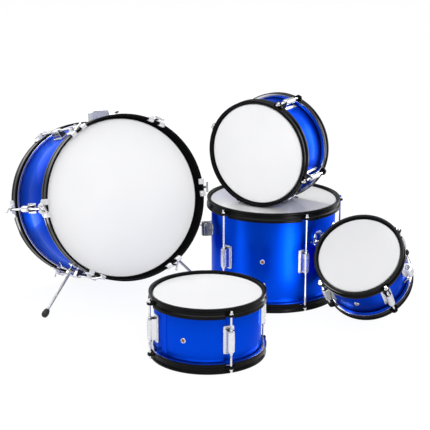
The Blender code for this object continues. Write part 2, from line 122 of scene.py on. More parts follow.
# Node helpers for the finishes, the fittings and the studio
def feed(tree, node, inputs):
    """Links or sets a node's inputs, by name or number."""
    for label, value in inputs.items():
        if isinstance(value, bpy.types.NodeSocket):
            tree.links.new(value, node.inputs[label])
        else:
            node.inputs[label].default_value = value


def add(tree, kind, inputs=None, **settings):
    """New node with these inputs and settings."""
    node = tree.nodes.new(kind)
    for label, value in settings.items():
        setattr(node, label, value)
    feed(tree, node, inputs or {})
    return node


def maths(tree, operation, *values):
    """One sum on numbers or sockets."""
    return add(tree, "ShaderNodeMath", dict(enumerate(values)), operation=operation).outputs[0]


def vector(tree, x=0.0, y=0.0, z=0.0):
    """Vector from numbers or sockets."""
    return add(tree, "ShaderNodeCombineXYZ", {"X": x, "Y": y, "Z": z}).outputs[0]


def between(tree, share, first, second):
    """Goes from the first number to the second as the share rises."""
    return add(tree, "ShaderNodeMix", {0: share, 2: first, 3: second}).outputs[0]


def mapped(tree, source, low, high, to_low=0.0, to_high=1.0, kind="LINEAR"):
    """Spreads one range of values over another."""
    ranges = {"Value": source, "From Min": low, "From Max": high, "To Min": to_low, "To Max": to_high}
    return add(tree, "ShaderNodeMapRange", ranges, interpolation_type=kind).outputs["Result"]


def ramp(tree, source, stops, kind="LINEAR"):
    """Colour ramp through these (position, colour) stops."""
    step = add(tree, "ShaderNodeValToRGB", {"Fac": source})
    step.color_ramp.interpolation = kind
    elements = step.color_ramp.elements
    while len(elements) < len(stops):
        elements.new(0.5)
    for element, (position, colour) in zip(elements, stops):
        element.position = position
        element.color = (*colour, 1)
    return step.outputs["Color"]


def grey(level):
    return (level, level, level)


def noise(tree, scale, detail):
    """Noise on the object's own coordinates."""
    place = add(tree, "ShaderNodeTexCoord").outputs["Object"]
    return add(tree, "ShaderNodeTexNoise", {"Vector": place, "Scale": scale, "Detail": detail}).outputs["Fac"]


def new_material(name):
    """Material with its node tree and its main shader."""
    made = bpy.data.materials.new(name)
    made.use_nodes = True
    return made, made.node_tree, made.node_tree.nodes["Principled BSDF"]


def finish_of(name, tone, rough, relief, settings=None):
    """Finish whose colour, roughness and relief each follow a noise, told first by its scale and detail."""
    made, tree, shader = new_material(name)
    noises = {grain: noise(tree, *grain) for grain in dict.fromkeys((tone[0], rough[0], relief[0]))}
    lift = {"Height": noises[relief[0]], "Distance": relief[1], "Strength": relief[2]}
    feed(tree, shader, {
        "Base Color": ramp(tree, noises[tone[0]], ((NOISE_LOW, tone[1]), (NOISE_HIGH, tone[2]))),
        "Roughness": mapped(tree, noises[rough[0]], NOISE_LOW, NOISE_HIGH, *rough[1:]),
        "Normal": add(tree, "ShaderNodeBump", lift).outputs["Normal"]})
    feed(tree, shader, settings or {})
    return made


def blue_wrap():
    """Glossy wrap: a metallic blue film with very fine flake under a clear skin."""
    flake, cloud = (1400.0, 1.0), (9.0, 2.0)
    return finish_of(
        "metallic_blue_wrap",
        tone=(flake, (0.0, 0.058, 0.68), (0.0, 0.074, 0.8)),
        rough=(cloud, 0.36, 0.42),
        relief=(flake, 0.00002, 0.25),
        settings={"Metallic": 1.0, "Specular Tint": (0.32, 0.52, 0.92, 1),
                  "Coat Weight": 0.22, "Coat IOR": 1.15, "Coat Roughness": 0.06})


def black_enamel(name, rough, gloss):
    """Baked black paint of the hoops with a slight orange peel."""
    peel, wear = (260.0, 2.0), (35.0, 4.0)
    return finish_of(
        name,
        tone=(wear, (0.003, 0.003, 0.0034), (0.005, 0.005, 0.0055)),
        rough=(wear, rough - 0.05, rough + 0.05),
        relief=(peel, 0.00006, 0.25),
        settings={"Specular IOR Level": gloss, "IOR": 1.12})


def head_film(name, rough, grain, tone=0.9):
    """White head film, sprayed or smooth by the depth of its grain."""
    fine, broad = (900.0, 2.0), (6.0, 2.0)
    return finish_of(
        name,
        tone=(broad, (tone - 0.03, tone - 0.03, tone - 0.02), (tone, tone, tone + 0.01)),
        rough=(fine, rough - 0.05, rough + 0.05),
        relief=(fine, grain, 0.3),
        settings={"Specular IOR Level": 0.5 if rough < 0.2 else 0.2})


def plated(name, tone, rough, peel, metal=1.0):
    """Plating with slight unevenness under it."""
    smear, wave = (45.0, 4.0), (160.0, 2.0)
    return finish_of(
        name,
        tone=(smear, tuple(part * 0.93 for part in tone), tone),
        rough=(smear, rough * 0.7, rough * 1.3),
        relief=(wave, peel, 0.3),
        settings={"Metallic": metal})


def rubber():
    """Black rubber with a fine grain; the same black also paints the shade at the lugs' ends and in the tom
    post's hole.
    """
    grain = (700.0, 3.0)
    return finish_of(
        "black_rubber_and_painted_shade",
        tone=(grain, (0.008, 0.008, 0.01), (0.02, 0.02, 0.024)),
        rough=(grain, 0.55, 0.75),
        relief=(grain, 0.0001, 0.5))


def drilled_wood():
    """Dark end grain inside an air vent."""
    grain = (420.0, 4.0)
    return finish_of(
        "drilled_wood",
        tone=(grain, (0.17, 0.06, 0.02), (0.34, 0.13, 0.045)),
        rough=(grain, 0.6, 0.8),
        relief=(grain, 0.0003, 0.5))


WRAP = blue_wrap()
ENAMEL = black_enamel("black_hoop_enamel", rough=0.18, gloss=1.0)
DULL_BLACK = black_enamel("dull_black_inside", rough=0.55, gloss=0.02)
SPRAYED_FILM = head_film("coated_head_film", rough=0.42, grain=0.00008)
GLOSSY_FILM = head_film("glossy_head_film", rough=0.16, grain=0.00002)
SMOOTH_FILM = head_film("smooth_head_film", rough=0.25, grain=0.00003)
# The sprayed film made greyer: painted shade for the 8" tom's head, which gets less light
SHADED_HEAD_FILM = head_film("head_film_with_painted_shade", rough=0.42, grain=0.00008, tone=0.8)
CHROME = plated("bright_chrome", (0.84, 0.84, 0.85), rough=0.1, peel=0.00003)
CAST = plated("plated_casting", (0.8, 0.81, 0.84), rough=0.26, peel=0.00004, metal=0.72)
ROD_STEEL = plated("drawn_steel_rod", (0.46, 0.46, 0.46), rough=0.42, peel=0.00001, metal=0.6)
SATIN = plated("satin_casting", (0.86, 0.86, 0.88), rough=0.34, peel=0.00003, metal=0.45)
# Darker chrome; on the 10" tom's bracket it is painted shade for the shadow under that tom
DARK_CHROME = plated("dark_chrome", (0.26, 0.27, 0.31), rough=0.16, peel=0.00003)
HEAD_RING = plated("head_ring_aluminium", (0.8, 0.82, 0.88), rough=0.16, peel=0.00004)
RUBBER_AND_SHADE = rubber()
BARE_WOOD = drilled_wood()
WIRE_STEEL = plated("snare_wire_steel", (0.6, 0.6, 0.58), rough=0.26, peel=0.00003)

# Film of each small drum's playing side, where it isn't the plain sprayed white; the 8" tom's is the sprayed
# film made greyer as painted shade
PLAYING_FILMS = {"tom_8": SHADED_HEAD_FILM, "floor_tom": GLOSSY_FILM}


# Mesh helpers: a solid is a list of points and a list of faces, facing out
def oriented(points, faces):
    """The solid with its faces turned to point out."""
    points = np.array(points, float)
    total = 0.0
    for f in faces:
        a = points[f[0]]
        for b, c in zip(f[1:-1], f[2:]):
            total += float(np.dot(a, np.cross(points[b], points[c])))
    return points, [list(f) if total > 0 else list(f)[::-1] for f in faces]


def rounded(corners, radius, steps=3, closed=True):
    """The outline with each corner replaced by a small arc."""
    out = []
    n = len(corners)
    for i in range(n):
        p = Vector(corners[i])
        if not closed and i in (0, n - 1):
            out.append(tuple(p))
            continue
        a, b = Vector(corners[i - 1]) - p, Vector(corners[(i + 1) % n]) - p
        reach = min(radius, a.length * 0.45, b.length * 0.45)
        start, end = p + a.normalized() * reach, p + b.normalized() * reach
        for k in range(steps + 1):
            t = k / steps
            out.append(tuple(start * (1 - t) ** 2 + p * 2 * t * (1 - t) + end * t ** 2))
    return out


def turned(profile, sides):
    """A body turned about Z from a profile of (radius, height) points; ends on the axis are closed."""
    points, rings = [], []
    for radius, height in profile:
        if radius < 1e-7:
            rings.append([len(points)])
            points.append((0, 0, height))
            continue
        rings.append(list(range(len(points), len(points) + sides)))
        for i in range(sides):
            points.append((*polar(radius, 2 * math.pi * i / sides), height))
    loop = len(rings[0]) > 1 and len(rings[-1]) > 1
    faces = []
    for k in range(len(rings) if loop else len(rings) - 1):
        upper, lower = rings[k], rings[(k + 1) % len(rings)]
        for i in range(sides):
            j = (i + 1) % sides
            near = [upper[i % len(upper)], lower[i % len(lower)]]
            far = [lower[j % len(lower)], upper[j % len(upper)]]
            corners = list(dict.fromkeys(near + far))
            if len(corners) > 2:
                faces.append(corners)
    return oriented(points, faces)


def soft_turned(corners, radius, steps, sides):
    """A turned body or ring whose profile has softened corners."""
    return turned(rounded(corners, radius, steps, closed=corners[0][0] > 0), sides)


def polar(radius, angle):
    """Point in XY at this distance from the axis and this angle in radians."""
    return radius * math.cos(angle), radius * math.sin(angle)


def rectangle(x0, x1, y0, y1):
    """Four corners, from the first one round to the last."""
    return [(x0, y0), (x1, y0), (x1, y1), (x0, y1)]


def walls_between(rows, n, closed=False):
    """Faces that join each row of n points to the next, and the last to the first if closed."""
    faces = []
    for k in range(rows if closed else rows - 1):
        after = (k + 1) % rows
        for i in range(n):
            j = (i + 1) % n
            faces.append([k * n + i, k * n + j, after * n + j, after * n + i])
    return faces


def notched(full, short, drum):
    """A ring turned about Z that takes the short section where the drum's rods pass."""
    stations = []
    half, edge = NOTCH / drum.radius, NOTCH_EDGE / drum.radius
    gap = 2 * math.pi / drum.lugs - 2 * (half + edge)
    for lug in range(drum.lugs):
        middle = math.radians(drum.first_lug) + 2 * math.pi * lug / drum.lugs
        inside = [middle - half + half * k / 3 for k in range(7)]
        outside = [middle + half + edge + gap * k / 26 for k in range(27)]
        stations += [(a, short) for a in inside] + [(a, full) for a in outside]
    points = [(*polar(r, a), z) for a, section in stations for r, z in section]
    return oriented(points, walls_between(len(stations), len(full), closed=True))


def lofted(sections):
    """A closed body through a row of outlines with the same number of points."""
    n = len(sections[0])
    points = [p for section in sections for p in section]
    last = (len(sections) - 1) * n
    faces = [list(range(n))[::-1], list(range(last, last + n))]
    return oriented(points, faces + walls_between(len(sections), n))


def raised(outline, z0, z1):
    """A flat outline in XY raised from z0 to z1."""
    return lofted([[(x, y, z) for x, y in outline] for z in (z0, z1)])


def block(x0, x1, y0, y1, z0, z1):
    return raised(rectangle(x0, x1, y0, y1), z0, z1)


def moved(solid, matrix):
    points, faces = solid
    m = np.array(matrix)
    points = points @ m[:3, :3].T + m[:3, 3]
    return (points, faces) if np.linalg.det(m[:3, :3]) > 0 else (points, [f[::-1] for f in faces])


def shifted(solid, x=0.0, y=0.0, z=0.0):
    return moved(solid, Matrix.Translation((x, y, z)))


def both_ends(solid):
    """The solid and its mirror image at the other end."""
    return [solid, moved(solid, MIRROR)]


def solid_of(body):
    """Takes the solid out of a bmesh and frees it."""
    body.verts.index_update()
    points = [tuple(v.co) for v in body.verts]
    faces = [[v.index for v in f.verts] for f in body.faces]
    body.free()
    return oriented(points, faces)


def softened(solid, width, segments=2, angle=CREASE):
    """The solid with its sharp edges rounded over."""
    body = bmesh.new()
    verts = [body.verts.new(p) for p in solid[0]]
    for f in solid[1]:
        body.faces.new([verts[i] for i in f])
    body.normal_update()
    sharp = [e for e in body.edges if e.is_manifold and e.calc_face_angle(0) > math.radians(angle)]
    bmesh.ops.bevel(body, geom=sharp, offset=width, segments=segments, profile=0.6, affect="EDGES",
                    clamp_overlap=True)
    return solid_of(body)


def soft_slab(outline, low, high, width, segments=2):
    """A flat outline raised between two heights, with its edges rounded over."""
    return softened(raised(outline, low, high), width, segments)


def bar(start, end, radius, sides):
    """A round bar with softly rounded ends between two points."""
    start, end = Vector(start), Vector(end)
    along = end - start
    e = radius * 0.35
    shape = turned([(0, along.length), (radius - e, along.length), (radius, along.length - e),
                    (radius, e), (radius - e, 0), (0, 0)], sides)
    turn = along.to_track_quat("Z", "Y").to_matrix().to_4x4()
    return moved(shape, Matrix.Translation(start) @ turn)


def mesh_of(name, solids, crease=CREASE):
    """One mesh from (solid, finish) pairs, smooth but for its sharp edges."""
    mesh = bpy.data.meshes.new(name)
    points, faces, which, finishes = [], [], [], []
    start = 0
    for (solid_points, solid_faces), finish in solids:
        if finish not in finishes:
            finishes.append(finish)
        points.append(solid_points)
        faces += [[start + i for i in f] for f in solid_faces]
        which += [finishes.index(finish)] * len(solid_faces)
        start += len(solid_points)
    mesh.from_pydata(np.concatenate(points).tolist(), [], faces)
    for finish in finishes:
        mesh.materials.append(finish)
    mesh.polygons.foreach_set("material_index", which)
    mesh.polygons.foreach_set("use_smooth", [True] * len(faces))
    mesh.set_sharp_from_angle(angle=math.radians(crease))
    mesh.update()
    return mesh


def shown(name, data):
    """A new object in the scene."""
    made = bpy.data.objects.new(name, data)
    bpy.context.scene.collection.objects.link(made)
    return made


def settled(made, body, stands_for=()):
    """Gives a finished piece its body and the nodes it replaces."""
    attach(made, body)
    if stands_for:
        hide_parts(*stands_for)


def piece(name, solids, body, place, stands_for=()):
    """A finished piece of a drum, from (solid, finish) pairs, riding on its body."""
    placed = [(moved(solid, place), finish) for solid, finish in solids]
    settled(shown(name, mesh_of(name, placed)), body, stands_for)


def in_finish(solids, finish):
    return [(solid, finish) for solid in solids]


# Geometry nodes that repeat a fitting or a wire
def new_tree(name, inputs):
    """Geometry tree with these named inputs; gives the tree, the identifiers and the inputs' sockets."""
    tree = bpy.data.node_groups.new(name, "GeometryNodeTree")
    names = {}
    for label, kind in inputs.items():
        made = tree.interface.new_socket(name=label, in_out="INPUT", socket_type="NodeSocket" + kind)
        names[label] = made.identifier
    tree.interface.new_socket(name="Geometry", in_out="OUTPUT", socket_type="NodeSocketGeometry")
    return tree, names, tree.nodes.new("NodeGroupInput").outputs


def end_in_copies(tree, given, points, shape, turn):
    """Ends a tree with real copies of a shape at the points, in the given finish."""
    where = {"Points": points, "Instance": shape, "Rotation": turn}
    copies = add(tree, "GeometryNodeInstanceOnPoints", where).outputs[0]
    real = add(tree, "GeometryNodeRealizeInstances", {0: copies}).outputs[0]
    painted = add(tree, "GeometryNodeSetMaterial", {"Geometry": real, "Material": given["Finish"]}).outputs[0]
    add(tree, "NodeGroupOutput", {0: painted})


def grown(name, tree, names, values):
    """New object whose plain mesh is what the tree makes with these values."""
    holder = shown(name, bpy.data.meshes.new(name))
    step = holder.modifiers.new("grown", "NODES")
    step.node_group = tree
    for label, value in values.items():
        step[names[label]] = value
    holder.update_tag()
    bpy.context.view_layer.update()
    mesh = bpy.data.meshes.new_from_object(holder.evaluated_get(bpy.context.evaluated_depsgraph_get()))
    holder.modifiers.clear()
    holder.data = mesh
    mesh.name = name
    return holder


def round_the_drum():
    """Tree that places a fitting at even angles round the Z axis and makes it one mesh."""
    tree, names, given = new_tree("fittings_round_the_drum", {
        "Fitting": "Object", "Count": "Int", "First angle": "Float", "Out from axis": "Float",
        "Height": "Float", "Finish": "Material"})
    share = maths(tree, "DIVIDE", add(tree, "GeometryNodeInputIndex").outputs[0], given["Count"])
    angle = maths(tree, "ADD", maths(tree, "MULTIPLY", share, 2 * math.pi), given["First angle"])
    x = maths(tree, "MULTIPLY", maths(tree, "COSINE", angle), given["Out from axis"])
    y = maths(tree, "MULTIPLY", maths(tree, "SINE", angle), given["Out from axis"])
    spot = vector(tree, x=x, y=y, z=given["Height"])
    spots = add(tree, "GeometryNodePoints", {"Count": given["Count"], "Position": spot}).outputs[0]
    fitting = add(tree, "GeometryNodeObjectInfo", {"Object": given["Fitting"]}).outputs["Geometry"]
    end_in_copies(tree, given, spots, fitting, vector(tree, z=angle))
    return tree, names


ROUND_TREE, ROUND_NAMES = round_the_drum()


def set_round(name, solids, finish, body, out, height, place, crease=CREASE):
    """Fittings at a drum's lug angles, as one piece of its body."""
    drum = DRUMS[body]
    pattern = shown(name + "_pattern", mesh_of(name + "_pattern", in_finish(solids, finish), crease))
    holder = grown(name, ROUND_TREE, ROUND_NAMES, {
        "Fitting": pattern, "Count": drum.lugs, "First angle": math.radians(drum.first_lug),
        "Out from axis": out, "Height": height, "Finish": finish})
    bpy.data.objects.remove(pattern, do_unlink=True)
    holder.data.transform(place)
    if place.to_3x3().determinant() < 0:
        holder.data.flip_normals()
    settled(holder, body)


# Sections of the turned pieces
def flanged_section(r, low=-HOOP_HEIGHT, skirt=0.0129):
    """Pressed hoop: rolled rim, wall, outward skirt and the ledge that pulls the head down."""
    corners = [(r + 0.0053, 0), (r + 0.0118, 0), (r + 0.012, -0.005), (r + 0.0094, -0.0082),
               (r + 0.0094, -0.015), (r + skirt, -0.0176), (r + skirt, low),
               (r + skirt - 0.0013, low), (r + skirt - 0.0013, -0.0182), (r + 0.007, -0.0178),
               (r + 0.007, -0.0102), (r + 0.0023, -0.0102), (r + 0.0023, -0.009), (r + 0.0052, -0.0074)]
    return rounded(corners, 0.0012, 4)


def ring_section(r, low=-HOOP_HEIGHT + 0.0006, wide=0.0112):
    """Metal ring of the head: an upright hoop whose lower edge is turned out under the skirt."""
    corners = [(r + 0.0021, -0.0104), (r + 0.0063, -0.0104), (r + 0.0063, low + 0.0024),
               (r + wide, low + 0.002), (r + wide, low), (r + 0.0021, low)]
    return rounded(corners, 0.0007, 3)


def bass_section(r, corners, radius, steps):
    """Ring of the bass drum, from a section told by its place out from the shell."""
    return turned(rounded([(r + out, height) for out, height in corners], radius, steps), STEPS)


# Deep bass hoop with a shallow groove round its middle, the dull lining inside it, and the ring of its head
BASS_HOOP = ([(0.0074, 0), (0.0121, 0), (0.0123, -0.011), (0.011, -0.0148), (0.011, -0.0262),
              (0.0123, -0.03), (0.0121, -0.041), (0.0074, -0.041)], 0.0016, 4)
BASS_LINER = ([(0.0069, -0.0012), (0.0078, -0.0008), (0.0078, -0.0386), (0.0024, -0.0386),
               (0.0024, -0.0372), (0.0069, -0.0366)], 0.0004, 2)
BASS_RING = (rectangle(0.0021, 0.0062, -0.0389, -0.0464), 0.001, 3)


def film_section(r, drop, low):
    """Head film with its collar turned down into the ring."""
    corners = [(0, -drop), (r + 0.0004, -drop), (r + 0.0018, -drop - 0.0016), (r + 0.0022, -low),
               (r + 0.0012, -low), (r + 0.0008, -drop - 0.0024), (r - 0.0004, -drop - 0.0009),
               (0, -drop - 0.0009)]
    return corners[:1] + rounded(corners[1:-1], 0.0008, 2, closed=False) + corners[-1:]


def shell_section(r, drop, depth):
    """Wall of a shell with a bearing edge at each end."""
    top, low = -drop - 0.0013, -depth + drop + 0.0013
    return [(r - 0.0022, top), (r - 0.001, top - 0.0006), (r, top - 0.0022), (r, low + 0.0022),
            (r - 0.001, low + 0.0006), (r - 0.0022, low), (r - WALL, low + 0.0038), (r - WALL, top - 0.0038)]


# Fittings, each with X out from the shell and Z along the drum
def lug_plate(foot):
    """Foot plate of a lug with rounded corners."""
    outline = rounded(rectangle(-foot / 2, foot / 2, -LUG_FOOT, LUG_FOOT), 0.0042, 4)
    return moved(soft_slab(outline, 0.0, 0.0031, 0.0007), LYING)


def lug_casing(length, rod_out):
    """Straight bright walls between the plate and the barrel, with a nut collar for the rod at each end."""
    half = length / 2
    w = 0.93 * LUG_MIDDLE
    section = [(0.0025, -w - 0.0008), (rod_out - 0.2 * w, -w), (rod_out - 0.2 * w, w), (0.0025, w + 0.0008)]
    walls = raised(section, -half * 0.985, half * 0.985)
    collar = soft_turned([(0.0028, half - 0.001), (0.0028, half + 0.005), (0.0036, half + 0.005),
                          (0.004, half - 0.001)], 0.0005, 2, 20)
    return [softened(walls, 0.0004, 1)] + both_ends(shifted(collar, rod_out))


def lug_barrel(length, rod_out):
    """Faceted barrel, nearly straight, drawn in a little at its ends."""
    half = length / 2
    sections = []
    for z, w in ((-half, LUG_END), (-half * 0.86, LUG_MIDDLE - 0.0005), (0, LUG_MIDDLE),
                 (half * 0.86, LUG_MIDDLE - 0.0005), (half, LUG_END)):
        section = [(rod_out - 0.34 * w, -0.93 * w), (rod_out + 0.31 * w, -0.92 * w),
                   (rod_out + 0.74 * w, -0.38 * w), (rod_out + 0.74 * w, 0.38 * w),
                   (rod_out + 0.31 * w, 0.92 * w), (rod_out - 0.34 * w, 0.93 * w)]
        sections.append([(x, y, z) for x, y in section])
    return softened(lofted(sections), 0.0007, 2, 12.0)


def lug_end_shade(length, rod_out):
    """Black sheet at each end of a lug, round the rod's collar: painted shade of the recess there."""
    half = length / 2
    w = 0.84 * LUG_MIDDLE
    outline = rounded([(0.0036, -w), (rod_out + 0.001, -w), (rod_out + 0.004, -w * 0.5),
                       (rod_out + 0.004, w * 0.5), (rod_out + 0.001, w), (0.0036, w)], 0.002, 3)
    return both_ends(raised(outline, half - 0.0012, half + 0.00012))


def lugs(body, rod_out):
    """Lugs round a drum: plates with barrels, walls with nut collars, and black sheets at their ends as
    painted shade.
    """
    drum = DRUMS[body]
    plates = [lug_plate(drum.foot_length), lug_barrel(drum.lug_length, rod_out)]
    casings, wells = lug_casing(drum.lug_length, rod_out), lug_end_shade(drum.lug_length, rod_out)
    # The black end sheets stand for the shade in the lugs' recesses
    parts = [("barrels", plates, CAST, "chrome", LUG_CREASE),
             ("casings", casings, CHROME, "chrome", LUG_CREASE),
             ("wells", wells, RUBBER_AND_SHADE, "rubber", CREASE)]
    for part, solids, finish, slot, crease in parts:
        set_round(f"{body}_lug_{part}", solids, finish, body, drum.radius, -drum.depth / 2, drum.place,
                  crease)


def thread(radius, top, low):
    """Profile points of a cut thread between two heights, from the top down."""
    points = []
    for k in range(max(int((top - low) / THREAD_PITCH), 1)):
        z = top - k * THREAD_PITCH
        points += [(radius, z), (radius - THREAD_CUT, z - THREAD_PITCH * 0.5)]
    return points + [(radius, low)]


def screw_head(crown, rim, height, shoulder, sides):
    """Low domed screw head, from its crown out to its rim."""
    return soft_turned([(0, height), (crown, shoulder), (rim, 0), (0, 0)], 0.0006, 2, sides)


def key_rod_solids(lug_top):
    """Square-headed tension rod with its washer, shank and thread."""
    top = EAR_TOP + 0.0092
    head = softened(block(-0.0027, 0.0027, -0.0027, 0.0027, top - 0.0062, top), 0.0005)
    collar = soft_turned([(0, EAR_TOP + 0.0034), (0.0046, EAR_TOP + 0.0034), (0.005, EAR_TOP + 0.0012),
                          (0, EAR_TOP + 0.0012)], 0.0006, 3, 20)
    washer = turned([(0, EAR_TOP + 0.0012), (0.0054, EAR_TOP + 0.0012), (0.0057, EAR_TOP + 0.0007),
                     (0.0054, EAR_TOP + 0.0001), (0, EAR_TOP + 0.0001)], 20)
    end = lug_top + GAP
    shank = turned([(0, EAR_TOP), (0.0026, EAR_TOP)] + thread(0.0026, end + 0.013, end) + [(0, end)], 12)
    return [head, collar, washer, shank]


def ear_solid():
    """Tab of the hoop round the rod."""
    outline = rounded([(0.0083, -0.0118), (0.0122, -0.0112), (0.0188, -0.0084), (0.0233, -0.0046),
                       (0.0233, 0.0046), (0.0188, 0.0084), (0.0122, 0.0112), (0.0083, 0.0118)], 0.002)
    return soft_slab(outline, EAR_LOW, EAR_TOP, 0.0007)


def vent(body, angle, height):
    """Air vent: a pressed ring with the drilled wood showing in the middle."""
    ring = soft_turned([(0.004, 0.0006), (0.0045, 0.0022), (0.0057, 0.0021), (0.0067, 0.0004),
                        (0.0067, -0.001), (0.004, -0.001)], 0.0007, 3, 28)
    core = turned(rectangle(0, 0.0042, 0.0005, -0.001), 20)
    spot = on_shell(body, angle, height) @ LYING
    piece(body + "_vent", [(ring, CHROME), (core, BARE_WOOD)], body, spot)


def lap(r, angle, low, high):
    """The wrap's overlap, a strip standing a little proud of the shell."""
    start, width, steps = math.radians(angle), math.radians(8.2), 8
    outward = [start + width * k / steps for k in range(steps + 1)]
    outline = [polar(r + 0.0007, a) for a in outward] + [polar(r - 0.0006, a) for a in outward[::-1]]
    return raised(outline, low, high)


def wrapped_shell(body, drop, lap_angle, margin):
    """Shell in its wrap, whose overlap stops this far from the rims."""
    drum = DRUMS[body]
    shell = turned(shell_section(drum.radius, drop, drum.depth), STEPS)
    overlap = lap(drum.radius, lap_angle, -drum.depth + margin, -margin)
    piece(body + "_shell_wrap", in_finish([shell, overlap], WRAP), body, drum.place, [body + "_shell"])


def head_and_rim(body, end, place, head, rim):
    """Head of a drum and the hoop over it."""
    piece(f"{body}_{end}_skin", head, body, place, [f"{body}_{end}_head"])
    piece(f"{body}_{end}_rim", rim, body, place, [f"{body}_{end}_hoop"])


def small_drum(body, lap_angle, vent_at=None):
    """Wrapped shell, two heads and two pressed hoops with their rods and lugs."""
    drum = DRUMS[body]
    r = drum.radius
    wrapped_shell(body, HEAD_DROP, lap_angle, LAP_MARGIN)
    lugs(body, ROD_OUT)
    if vent_at:
        vent(body, *vent_at)
    skin = turned(film_section(r, HEAD_DROP, COLLAR_DROP), STEPS)
    ring = notched(ring_section(r), ring_section(r, EAR_LOW, NOTCH_RING), drum)
    rim = notched(flanged_section(r), flanged_section(r, NOTCH_LOW, NOTCH_SKIRT), drum)
    rods = key_rod_solids(-drum.depth / 2 + drum.lug_length / 2)
    playing = PLAYING_FILMS.get(body, SPRAYED_FILM)
    for end, turn, film in (("batter", Matrix.Identity(4), playing),
                            ("reso", flipped(drum.depth), SMOOTH_FILM)):
        whole = drum.place @ turn
        head_and_rim(body, end, whole, [(skin, film), (ring, HEAD_RING)], [(rim, ENAMEL)])
        set_round(f"{body}_{end}_ears", [ear_solid()], ENAMEL, body, r, 0.0, whole)
        set_round(f"{body}_{end}_rods", rods, CHROME, body, r + ROD_OUT, 0.0, whole)


small_drum("floor_tom", lap_angle=100.0, vent_at=(258.1, -0.1326))
small_drum("snare", lap_angle=214.6, vent_at=(244.6, -0.0831))
small_drum("tom_10", lap_angle=200.0)
small_drum("tom_8", lap_angle=150.0, vent_at=(274.0, -0.0764))


# Bass drum
def claw_solids(r):
    """Two hooked fingers over the hoop, joined by a bow behind it with a boss for the rod."""
    outer, inner = r + 0.0123, r + 0.0068
    hook = [(outer - 0.0006, -0.03), (outer + 0.002, -0.03), (outer + 0.003, 0.001),
            (outer + 0.0012, 0.003), (inner - 0.0014, 0.003), (inner - 0.0028, 0.0012),
            (inner - 0.002, -0.012), (inner + 0.0004, -0.012), (inner + 0.0004, 0.0004),
            (outer - 0.0006, 0.0004)]
    finger = moved(raised(rounded(hook, 0.0008, 2), -0.0072, 0.0072), STANDING)
    fingers = [softened(shifted(finger, y=middle), 0.0014, 3) for middle in (0.016, -0.016)]
    top = r + BASS_ROD_OUT + 0.0045
    bow = [(outer - 0.0006, -0.0215), (outer + 0.0026, -0.0215), (outer + 0.004, -0.015), (top, -0.0095),
           (top + 0.0006, -0.0066), (top, -0.0038), (outer + 0.003, -0.0038), (outer + 0.003, 0.0038),
           (top, 0.0038), (top + 0.0006, 0.0066), (top, 0.0095), (outer + 0.004, 0.015),
           (outer + 0.0026, 0.0215), (outer - 0.0006, 0.0215)]
    return fingers + [soft_slab(rounded(bow, 0.001, 2), -0.035, -0.024, 0.0006)]


def t_rod(name, place, lug_top):
    """T-handled rod: bar, neck, washer, shank and thread."""
    end = lug_top + GAP
    handle_at, handle_half, handle_radius = 0.0075, 0.0115, 0.0027
    neck = rounded([(0, 0.0072), (0.003, 0.0072), (0.0036, 0.004), (0.0036, -0.0225), (0.006, -0.0225),
                    (0.006, -0.0238), (0.0027, -0.0238)], 0.0006, 2, closed=False)
    shank = turned(neck + thread(0.0027, end + 0.026, end) + [(0, end)], 14)
    handle = bar((-handle_half, 0, handle_at), (handle_half, 0, handle_at), handle_radius, 14)
    tip = soft_turned(rectangle(0, 0.0031, 0.003, -0.003), 0.001, 3, 14)
    tips = [shifted(moved(tip, LYING), x, 0, handle_at) for x in (-0.0105, 0.0105)]
    piece(name + "_key", in_finish([shank, handle] + tips, CHROME), name, place, [name])


def wing_screw(name, place, length, span, finish):
    """Thumb screw: shank, collar and a pair of cupped wings."""
    collar = rounded([(0, length + 0.004), (0.004, length + 0.004), (0.005, length - 0.001),
                      (0.0046, length - 0.004), (0.0024, length - 0.004)], 0.001, 2, closed=False)
    shank = turned(collar + thread(0.0024, length - 0.0046, 0.0) + [(0, 0)], 16)
    outline = [(-0.5, 0.01), (-0.42, 0.0122), (-0.3, 0.0118), (-0.12, 0.0045), (0.12, 0.0045),
               (0.3, 0.0118), (0.42, 0.0122), (0.5, 0.01), (0.42, 0.003), (0.16, -0.0022),
               (-0.16, -0.0022), (-0.42, 0.003)]
    outline = rounded([(x * span, y) for x, y in outline], 0.0014, 3)
    wing = soft_slab(outline, -0.0014, 0.0014, 0.0005)
    wing = moved(wing, Matrix.Translation((0, 0, length)) @ STANDING)
    piece(name + "_thumb", [(shank, CHROME), (wing, finish)], name, place, [name])


def bass_drum():
    """Wrapped shell, two heads and two deep hoops with claws, T rods and lugs."""
    drum = DRUMS["bass"]
    r = drum.radius
    wrapped_shell("bass", BASS_HEAD_DROP, 20.0, BASS_LAP_MARGIN)
    lugs("bass", BASS_ROD_OUT)
    skin = turned(film_section(r, BASS_HEAD_DROP, BASS_COLLAR_DROP), STEPS)
    head = [(skin, SMOOTH_FILM), (bass_section(r, *BASS_RING), HEAD_RING)]
    rim = [(bass_section(r, *BASS_HOOP), ENAMEL), (bass_section(r, *BASS_LINER), DULL_BLACK)]
    for end, turn in (("front", Matrix.Identity(4)), ("rear", flipped(drum.depth))):
        whole = drum.place @ turn
        head_and_rim("bass", end, whole, head, rim)
        set_round(f"bass_{end}_claws", claw_solids(r), SATIN, "bass", 0.0, 0.0, whole)
    lug_top = -drum.depth / 2 + drum.lug_length / 2
    turned_over = Matrix.Translation((0, 0, -drum.depth)) @ Matrix.Rotation(math.pi, 4, "X")
    out = Matrix.Translation((r + BASS_ROD_OUT, 0, 0))
    for i in range(drum.lugs):
        angle = drum.first_lug + 360 / drum.lugs * i
        near = round_at(angle) @ out @ round_at(FRONT_HANDLES[0] + FRONT_HANDLES[1] * i)
        t_rod(f"bass_t_rod_front_{i + 1}", drum.place @ near, lug_top)
        far = turned_over @ round_at(-angle) @ out @ round_at(REAR_HANDLES[0] + REAR_HANDLES[1] * i)
        t_rod(f"bass_t_rod_rear_{i + 1}", drum.place @ far, lug_top)


bass_drum()


